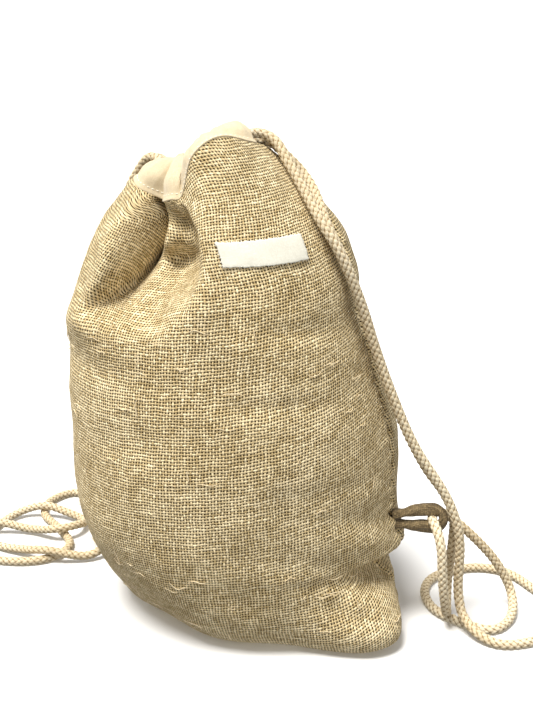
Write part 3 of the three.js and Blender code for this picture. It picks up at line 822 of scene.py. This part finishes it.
def add_panel(name, spans):
    start, end = spans[0][0], spans[-1][1]
    angles = np.concatenate([np.linspace(a, b, n, endpoint=False) for a, b, n in spans] + [[end]])
    levels = [k + i / steps for k, steps in enumerate(ROW_STEPS) for i in range(steps)] + [len(LEVELS)]
    points = panel_grid(angles, np.array(levels, float))
    z = points[..., 2].copy()
    columns, rows = z.shape
    angle = np.broadcast_to(angles[:, None], z.shape)
    hem = np.clip((len(LEVELS) - np.array([0] * (BASE_ROWS - 1) + levels)) / HEM_FADE, 0, 1)[None]
    # Cloth lengths across, from the panel's middle column
    middle_row = BASE_ROWS - 1 + sum(ROW_STEPS[:MIDDLE_LEVEL])
    middle_column = int(np.argmin(np.abs(angles - (start + end) / 2)))
    straight = run_along(points, 0)
    run_u = straight - straight[middle_column][None]
    u = OWN_LENGTH * run_u + (1 - OWN_LENGTH) * run_u[:, middle_row][:, None]
    # The pushed folds take in cloth of their own, which is hidden at the bottom of the slot.
    points[..., :2] += hem[..., None] * pushed(angle, z)
    taken = run_along(points, 0) - straight
    u = u + np.where(angle < SLOT_BOTTOM, taken, taken - taken[-1:])
    # Cloth lengths up, from the bag's middle level
    run_v = run_along(points, 1)
    run_v = run_v - run_v[:, middle_row][:, None]
    weft = run_v - WEFT_BOW["rise"] * (u - WEFT_BOW["middle"]) ** 2
    # The relief runs out at the hem and the foot.
    seam = np.minimum(np.abs(run_u - run_u[:1]), np.abs(run_u - run_u[-1:]))
    out = panel_relief(angle, z, u, run_v, seam) * np.clip(z / FOOT_FADE, 0, 1) * hem
    points = points + grid_normals(points) * out[..., None]
    points[..., 2] = np.maximum(points[..., 2], LOWEST_CLOTH)
    # One pole point closes the base.
    faces = grid_faces(columns, rows, 1)
    faces += [(0, 1 + (i + 1) * rows, 1 + i * rows) for i in range(columns - 1)]
    points = np.vstack([[0, 0, LOWEST_CLOTH], points.reshape(-1, 3)])
    threads = np.stack([u, weft], axis=-1).reshape(-1, 2)
    uv = np.vstack([[0, weft[middle_column, 0]], threads]) / HEMP_PITCH
    piece = make_piece(f"{name}_cloth", points, faces, HEMP_CLOTH, uv, None, [name])
    thicken(piece, HEMP)
    return piece


front = add_panel("front_panel", FRONT_SPANS)
back = add_panel("back_panel", BACK_SPANS)


# The cotton casings and the cords inside them

# Half of the casing's cross-section from its lip to its rim: share of the height, and offset
CASING_SIDE = [
    (-0.02, 0.1), (-0.018, 0.35), (0.0, 0.5), (0.05, 0.65), (0.1, 0.8), (0.15, 1.4), (0.22, 2.5),
    (0.3, 3.6), (0.4, 4.2), (0.52, 4.35), (0.62, 4.2), (0.72, 4.2), (0.82, 3.8), (0.9, 2.9), (0.96, 1.7),
    (1.0, 0.0),
]
CASING_COLUMNS = 200
RUN_COLUMNS = 240

# Coarse and fine gathers: length along the casing, cells up it and heights. Then the wave of the rim
GATHERS = {
    "length": 5.5, "cells": 1.2, "fine_length": 2.6, "fine_cells": 2,
    "fine": 0.5, "puff": 0.4, "high": 0.95,
}
RIM_WAVE = {"length": 7, "high": 0.6}


def casing_frame(angle):
    """Foot, up and out of the casing at each angle."""
    foot = ring_point("hem", angle)
    up = ring_point("rim", angle) - foot
    after = ring_point("hem", angle + 1) + ring_point("rim", angle + 1)
    before = ring_point("hem", angle - 1) + ring_point("rim", angle - 1)
    out = np.cross(after - before, up)
    return foot, up, out / np.linalg.norm(out, axis=-1)[..., None]


def add_casing(name, start, end, seed):
    foot, up, out = casing_frame(np.linspace(start, end, CASING_COLUMNS))
    section = np.array(CASING_SIDE + [(share, -offset) for share, offset in CASING_SIDE[-2::-1]])
    share, offset = section[None, :, 0], section[None, :, 1]
    run = run_along(foot, 0)
    length = run[:, None]
    face = np.sign(offset)
    # The added numbers give each face and noise its own place in the noise table.
    gathers = value_noise(length / GATHERS["length"] + 3 * face, share * GATHERS["cells"], seed)
    fine = value_noise(length / GATHERS["fine_length"], share * GATHERS["fine_cells"] + 9, seed + 1)
    gathers = gathers + GATHERS["fine"] * fine
    lift = np.abs(offset) / np.max(offset)
    reach = offset + face * lift * (GATHERS["puff"] + GATHERS["high"] * gathers)
    points = foot[:, None] + up[:, None] * share[..., None] + out[:, None] * reach[..., None]
    wave = RIM_WAVE["high"] * value_noise(length / RIM_WAVE["length"], length * 0 + 2, seed + 2)
    points[..., 2] += wave * np.clip(share, 0, 1) ** 2
    columns, rows = points.shape[:2]
    uv = np.stack(np.broadcast_arrays(length, run_along(points, 1)), axis=-1) / COTTON_PITCH
    piece = make_piece(
        f"{name}_cloth", points.reshape(-1, 3), grid_faces(columns, rows), COTTON_CLOTH,
        uv.reshape(-1, 2), None, [name],
    )
    thicken(piece, COTTON)
    return piece


def add_run(node, share, start, end):
    foot, up, _ = casing_frame(np.linspace(start, end, RUN_COLUMNS))
    add_braid(node, even_steps(foot + up * share, BRAID_STEP), SQUEEZED_CORD)


front_casing = add_casing("front_casing", *FRONT_CASING, seed=21)
back_casing = add_casing("back_casing", *BACK_CASING, seed=31)
for run_node, run_place in CORD_RUNS.items():
    add_run(run_node, *run_place)


# Stitches: small threads that dive into the cloth at both ends

THREAD_SIDES = 6
STITCH_RINGS = 6
STITCH_DIVE = 0.25
STITCH_END = 0.15

# The casing's seam: share of its height and distance out, then the stitches and the bare ends
CASING_SEAM = {
    "share": 0.1, "out": 0.8, "spacing": 3.3, "length": 2.3, "radius": 0.34, "lift": 0.45,
    "first": 2, "last": 4, "columns": 1200,
}


def add_threads(name, threads, material):
    """Many thin tubes as one piece. Each is a line and its radius at each point."""
    points, faces, total = [], [], 0
    for line, radius in threads:
        points.append(capped(line[0], tube_rings(line, radius[:, None], THREAD_SIDES), line[-1]))
        faces += tube_faces(len(line), THREAD_SIDES, total)
        total += len(points[-1])
    return make_piece(name, np.vstack(points), faces, material)


def stitch(start, end, normal, radius, lift):
    """A short thread from start to end, bowed out of the cloth and thinner at its ends."""
    t = np.linspace(0, 1, STITCH_RINGS)
    bow = lift * np.sin(np.pi * t) - STITCH_DIVE
    line = start + (end - start) * t[:, None] + normal * bow[:, None]
    return line, radius * np.sin(np.pi * (STITCH_END + (1 - 2 * STITCH_END) * t))


def casing_stitches(start, end):
    seam = CASING_SEAM
    foot, up, out = casing_frame(np.linspace(start, end, seam["columns"]))
    line = foot + up * seam["share"] + out * seam["out"]
    run = run_along(line, 0)
    stitches = []
    for begin in np.arange(seam["first"], run[-1] - seam["last"], seam["spacing"]):
        normal = out[np.argmin(np.abs(run - begin))]
        ends = point_at(np.array([begin, begin + seam["length"]]), run, line)
        stitches.append(stitch(*ends, normal, seam["radius"], seam["lift"]))
    return stitches


add_threads("front_casing_stitches", casing_stitches(*FRONT_CASING), WHITE_THREAD)
add_threads("back_casing_stitches", casing_stitches(*BACK_CASING), WHITE_THREAD)


# The label, a bare tape that follows the hemp

LABEL = {"angle": -73.5, "level": 8.68, "width": 57, "height": 17, "turn": 2, "lift": 1.35, "thick": 0.8}
LABEL_GRID = (70, 26)

# How ragged the tape's short and long sides are, how far it puffs up inside them, and how uneven it is
TAPE = {
    "ragged": 0.35, "short_cells": 13, "short_fade": 9, "long_cells": 34, "long_fade": 7,
    "puff": 0.35, "puff_reach": 1.5, "uneven": 0.25,
}

# Stitches over the label's edge: how far they reach out and in, their lean and heights
EDGE_STITCH = {
    "outside": 0.9, "inside": 1.5, "lean": 0.4, "low": 0.4, "high": 1.65, "radius": 0.3, "lift": 0.35,
}

# Sides of the label: axis that the stitches follow, side of the other axis, and how many there are
LABEL_SIDES = ((0, -1, 19), (0, 1, 19), (1, -1, 6), (1, 1, 6))


def label_spot(across, up):
    """A point of the hemp under the label and its normal, from millimetres on the label."""
    turn = math.radians(LABEL["turn"])
    rise = 0.1
    middle = body_point(LABEL["angle"], LABEL["level"])
    per_level = np.linalg.norm(body_point(LABEL["angle"], LABEL["level"] + rise) - middle) / rise
    level = LABEL["level"] + (across * math.sin(turn) + up * math.cos(turn)) / per_level
    one_degree = body_point(LABEL["angle"] + 1.0, level) - body_point(LABEL["angle"], level)
    per_degree = np.linalg.norm(one_degree, axis=-1)
    angle = LABEL["angle"] + (across * math.cos(turn) - up * math.sin(turn)) / per_degree
    return cloth_spot(angle, level)


def label_stitches():
    sewn = EDGE_STITCH
    half = np.array([LABEL["width"], LABEL["height"]]) / 2
    stitches = []
    for axis, sign, count in LABEL_SIDES:
        along, inward = np.eye(2)[axis], -sign * np.eye(2)[1 - axis]
        for k in range(count):
            edge = along * ((k + 0.5) / count - 0.5) * 2 * half - inward * half
            near = edge + inward * sewn["inside"] + along * sewn["lean"] * (-1) ** k
            start, normal = label_spot(*(edge - inward * sewn["outside"]))
            end, _ = label_spot(*near)
            ends = start + normal * sewn["low"], end + normal * sewn["high"]
            stitches.append(stitch(*ends, normal, sewn["radius"], sewn["lift"]))
    return stitches


def add_label():
    columns, rows = LABEL_GRID
    s, t = np.meshgrid(np.linspace(-0.5, 0.5, columns), np.linspace(-0.5, 0.5, rows), indexing="ij")
    short = value_noise(t * TAPE["short_cells"] + 2, np.sign(s) * 4, seed=41)
    long = value_noise(s * TAPE["long_cells"], np.sign(t) * 5, seed=42)
    across = s * LABEL["width"] + short * np.abs(2 * s) ** TAPE["short_fade"] * TAPE["ragged"]
    up = t * LABEL["height"] + long * np.abs(2 * t) ** TAPE["long_fade"] * TAPE["ragged"]
    here, normal = label_spot(across, up)
    edge = np.minimum(LABEL["width"] * (0.5 - np.abs(s)), LABEL["height"] * (0.5 - np.abs(t)))
    puff = TAPE["puff"] * (1 - np.exp(-edge / TAPE["puff_reach"]))
    puff += TAPE["uneven"] * value_noise(s * 5 + 1, t * 2, seed=43)
    points = here + normal * (LABEL["lift"] + puff)[..., None]
    uv = np.stack([across, up], axis=-1).reshape(-1, 2) / TAPE_PITCH
    piece = make_piece(
        "label_tape", points.reshape(-1, 3), grid_faces(columns, rows), LABEL_CLOTH,
        uv, None, ["label"],
    )
    thicken(piece, LABEL["thick"])
    return piece


label_tape = add_label()
add_threads("label_stitches", label_stitches(), WHITE_THREAD)


# The tabs, each a hemp strip folded into a loop

# The loop's middle line, as in the solids: reach, strip, hole, height, gap to the bag and hidden root
TAB = {"reach": 33, "thick": 3.2, "hole": 10, "height": 82, "gap": 2.2, "root": 3}

# The rolled strip's section and how boxy it is, how far one leg closes on the other, and the creases
TAB_ROLL = {
    "thick": 6.4, "wide": 8.4, "thick_power": 0.6, "wide_power": 0.75,
    "closing": 6.4, "closing_curve": 1.3, "crease": 0.12, "crease_length": 7,
}
TAB_STEPS = 40
TAB_SIDES = 28


def tab_line(slant):
    """The loop in its own plane: out along one leg, round the bend and back along the other."""
    middle = (TAB["hole"] + TAB["thick"]) / 2
    bend = TAB["reach"] - TAB["thick"] / 2 - middle
    start = math.tan(math.radians(slant)) * middle
    leg_out = np.linspace((start - TAB["root"], -middle), (bend, -middle), TAB_STEPS)
    arc = np.radians(np.linspace(-90, 90, TAB_STEPS)[1:-1])
    curve = np.stack([bend + middle * np.cos(arc), middle * np.sin(arc)], axis=1)
    leg_back = np.linspace((bend, middle), (-start - TAB["root"], middle), TAB_STEPS)
    leg_back[:, 1] -= TAB_ROLL["closing"] * np.linspace(0, 1, TAB_STEPS) ** TAB_ROLL["closing_curve"]
    return np.vstack([leg_out, curve, leg_back])


def power(value, exponent):
    """A power of the value's size, with its sign kept."""
    return np.sign(value) * np.abs(value) ** exponent


def add_tab(name, seam, turn, stands, twist, seed):
    flat = tab_line(0 if stands else -turn)
    ahead = np.gradient(flat, axis=0)
    ahead /= np.linalg.norm(ahead, axis=1)[:, None]
    # The strip's local frame: x away from the bag, y across the loop, z along the loop's hole
    nought = np.zeros(len(flat))
    line = np.column_stack([flat, nought])
    thin = np.column_stack([ahead[:, 1], -ahead[:, 0], nought])
    wide = np.tile([0.0, 0.0, 1.0], (len(flat), 1))
    run = run_along(line, 0)
    share = run / run[-1]
    rolled = (np.radians(twist) * np.sin(2 * np.pi * share) * np.sin(np.pi * share))[:, None]
    axis_a = thin * np.cos(rolled) + wide * np.sin(rolled)
    axis_b = wide * np.cos(rolled) - thin * np.sin(rolled)
    # The section is a rounded box, creased along its way.
    angle = full_turn(TAB_SIDES)
    half_thin = 0.5 * TAB_ROLL["thick"] * power(np.cos(angle), TAB_ROLL["thick_power"])
    half_wide = 0.5 * TAB_ROLL["wide"] * power(np.sin(angle), TAB_ROLL["wide_power"])
    noise = value_noise(run[:, None] / TAB_ROLL["crease_length"], 3 * np.cos(angle)[None] + 9, seed)
    crease = 1 + TAB_ROLL["crease"] * noise
    section = half_thin[None, :, None] * axis_a[:, None] + half_wide[None, :, None] * axis_b[:, None]
    points = capped(line[0], line[:, None] + crease[..., None] * section, line[-1])
    # Set up in the seam, upright or lying flat
    if stands:
        points = np.column_stack([points[:, 0], -points[:, 2], points[:, 1]])
    c, s = math.cos(math.radians(seam + turn)), math.sin(math.radians(seam + turn))
    x, y, z = points.T
    level = np.interp(TAB["height"], [each["z"] for each in LEVELS], np.arange(len(LEVELS)))
    root = body_point(float(seam), level) + heading(np.float64(seam)) * TAB["gap"]
    root[2] = TAB["height"]
    points = np.column_stack([x * c - y * s, x * s + y * c, z]) + root
    girth = run_along(np.column_stack([half_thin, half_wide]), 0)
    uv = np.stack(np.broadcast_arrays(girth[None], run[:, None]), axis=-1)
    uv = capped((0, 0), uv, (0, 0)) / TAB_PITCH
    make_piece(f"{name}_loop", points, tube_faces(len(run), TAB_SIDES), TAB_CLOTH, uv, None, [name])


add_tab("right_tab", RIGHT_SEAM, turn=8, stands=True, twist=120, seed=51)
add_tab("left_tab", LEFT_SEAM, turn=-45, stands=False, twist=30, seed=52)


# Loose strands and slubs of the hemp

# Where the strands lie, how long and curled they are, the share that runs up, their lift and thickness
STRAND = {
    "margin": 8, "levels": (1.6, 7.2), "length": (5, 17), "curl": 1.4, "wiggle": 0.4, "upright": 0.25,
    "lift": 0.25, "wave": 0.35, "radius": (0.2, 0.4), "ends": 0.25, "blunt": 0.7, "steps": 14,
}


def strand(rng, start, end):
    """One loose strand on the hemp, as a line and its radius."""
    angle = rng.uniform(start + STRAND["margin"], end - STRAND["margin"])
    level = rng.uniform(*STRAND["levels"])
    length, curl = rng.uniform(*STRAND["length"]), rng.normal(0, STRAND["curl"])
    t = np.linspace(-0.5, 0.5, STRAND["steps"])
    upright = rng.uniform() < STRAND["upright"]
    bow = curl * np.sin(np.pi * (t + 0.5)) + STRAND["wiggle"] * np.sin(9 * t + rng.uniform(0, 6))
    across, up = (bow, t * length) if upright else (t * length, bow)
    here, rise = body_point(angle, level), 0.05
    per_degree = max(np.linalg.norm(body_point(angle + SMALL_TURN, level) - here) / SMALL_TURN, 0.5)
    per_level = max(np.linalg.norm(body_point(angle, level + rise) - here) / rise, 5)
    spot, normal = cloth_spot(angle + across / per_degree, level + up / per_level)
    lift = STRAND["lift"] + STRAND["wave"] * np.abs(np.sin(5 * t + rng.uniform(0, 3)))
    taper = STRAND["ends"] + (1 - STRAND["ends"]) * np.cos(np.pi * t) ** STRAND["blunt"]
    radius = rng.uniform(*STRAND["radius"]) * taper
    return spot + normal * lift[:, None], radius


def add_strands(name, start, end, count, seed):
    rng = np.random.default_rng(seed)
    return add_threads(name, [strand(rng, start, end) for _ in range(count)], STRAW_THREAD)


front_strands = add_strands("front_loose_strands", LEFT_SEAM - 360, RIGHT_SEAM, count=70, seed=61)
back_strands = add_strands("back_loose_strands", RIGHT_SEAM, LEFT_SEAM, count=60, seed=62)


# Floor and light

FLOOR_REACH = 300
FLOOR_COLOUR = (0.92, 0.915, 0.905, 1)
SKY_STRENGTH = 0.45

# Suns: the direction they shine from, their spread in degrees, strength and colour
SUNS = {
    "key": ((-0.27, -0.24, 1.0), 26, 5.0, (1, 0.985, 0.955)),
    "front": ((0.5, -1.0, 0.3), 50, 0.66, (1, 1, 1)),
    "rim": ((-1.0, 0.6, 0.35), 40, 0.9, (1, 1, 1)),
}


def add_floor():
    mesh = bpy.data.meshes.new("floor")
    far = FLOOR_REACH
    mesh.from_pydata([(-far, -far, 0), (far, -far, 0), (far, far, 0), (-far, far, 0)], [], [(0, 1, 2, 3)])
    shader = Shader("floor_white", Roughness=0.8, Specular_IOR_Level=0.2)
    shader.colour(FLOOR_COLOUR)
    mesh.materials.append(shader.material)
    floor = bpy.data.objects.new("floor", mesh)
    bpy.context.scene.collection.objects.link(floor)
    floor.visible_diffuse = False


def add_sun(name, place, spread, strength, colour):
    """Even soft light from the direction of place."""
    data = bpy.data.lights.new(name, "SUN")
    data.angle = math.radians(spread)
    data.energy = strength
    data.color = colour
    light = bpy.data.objects.new(name, data)
    bpy.context.scene.collection.objects.link(light)
    light.rotation_euler = (-Vector(place)).to_track_quat("-Z", "Y").to_euler()


def add_sky():
    world = bpy.data.worlds.new("studio")
    bpy.context.scene.world = world
    world.use_nodes = True
    background = world.node_tree.nodes["Background"].inputs
    background["Color"].default_value = (1, 1, 1, 1)
    background["Strength"].default_value = SKY_STRENGTH
    bpy.context.scene.view_settings.view_transform = "Standard"


add_floor()
for sun_name, sun in SUNS.items():
    add_sun(sun_name, *sun)
add_sky()
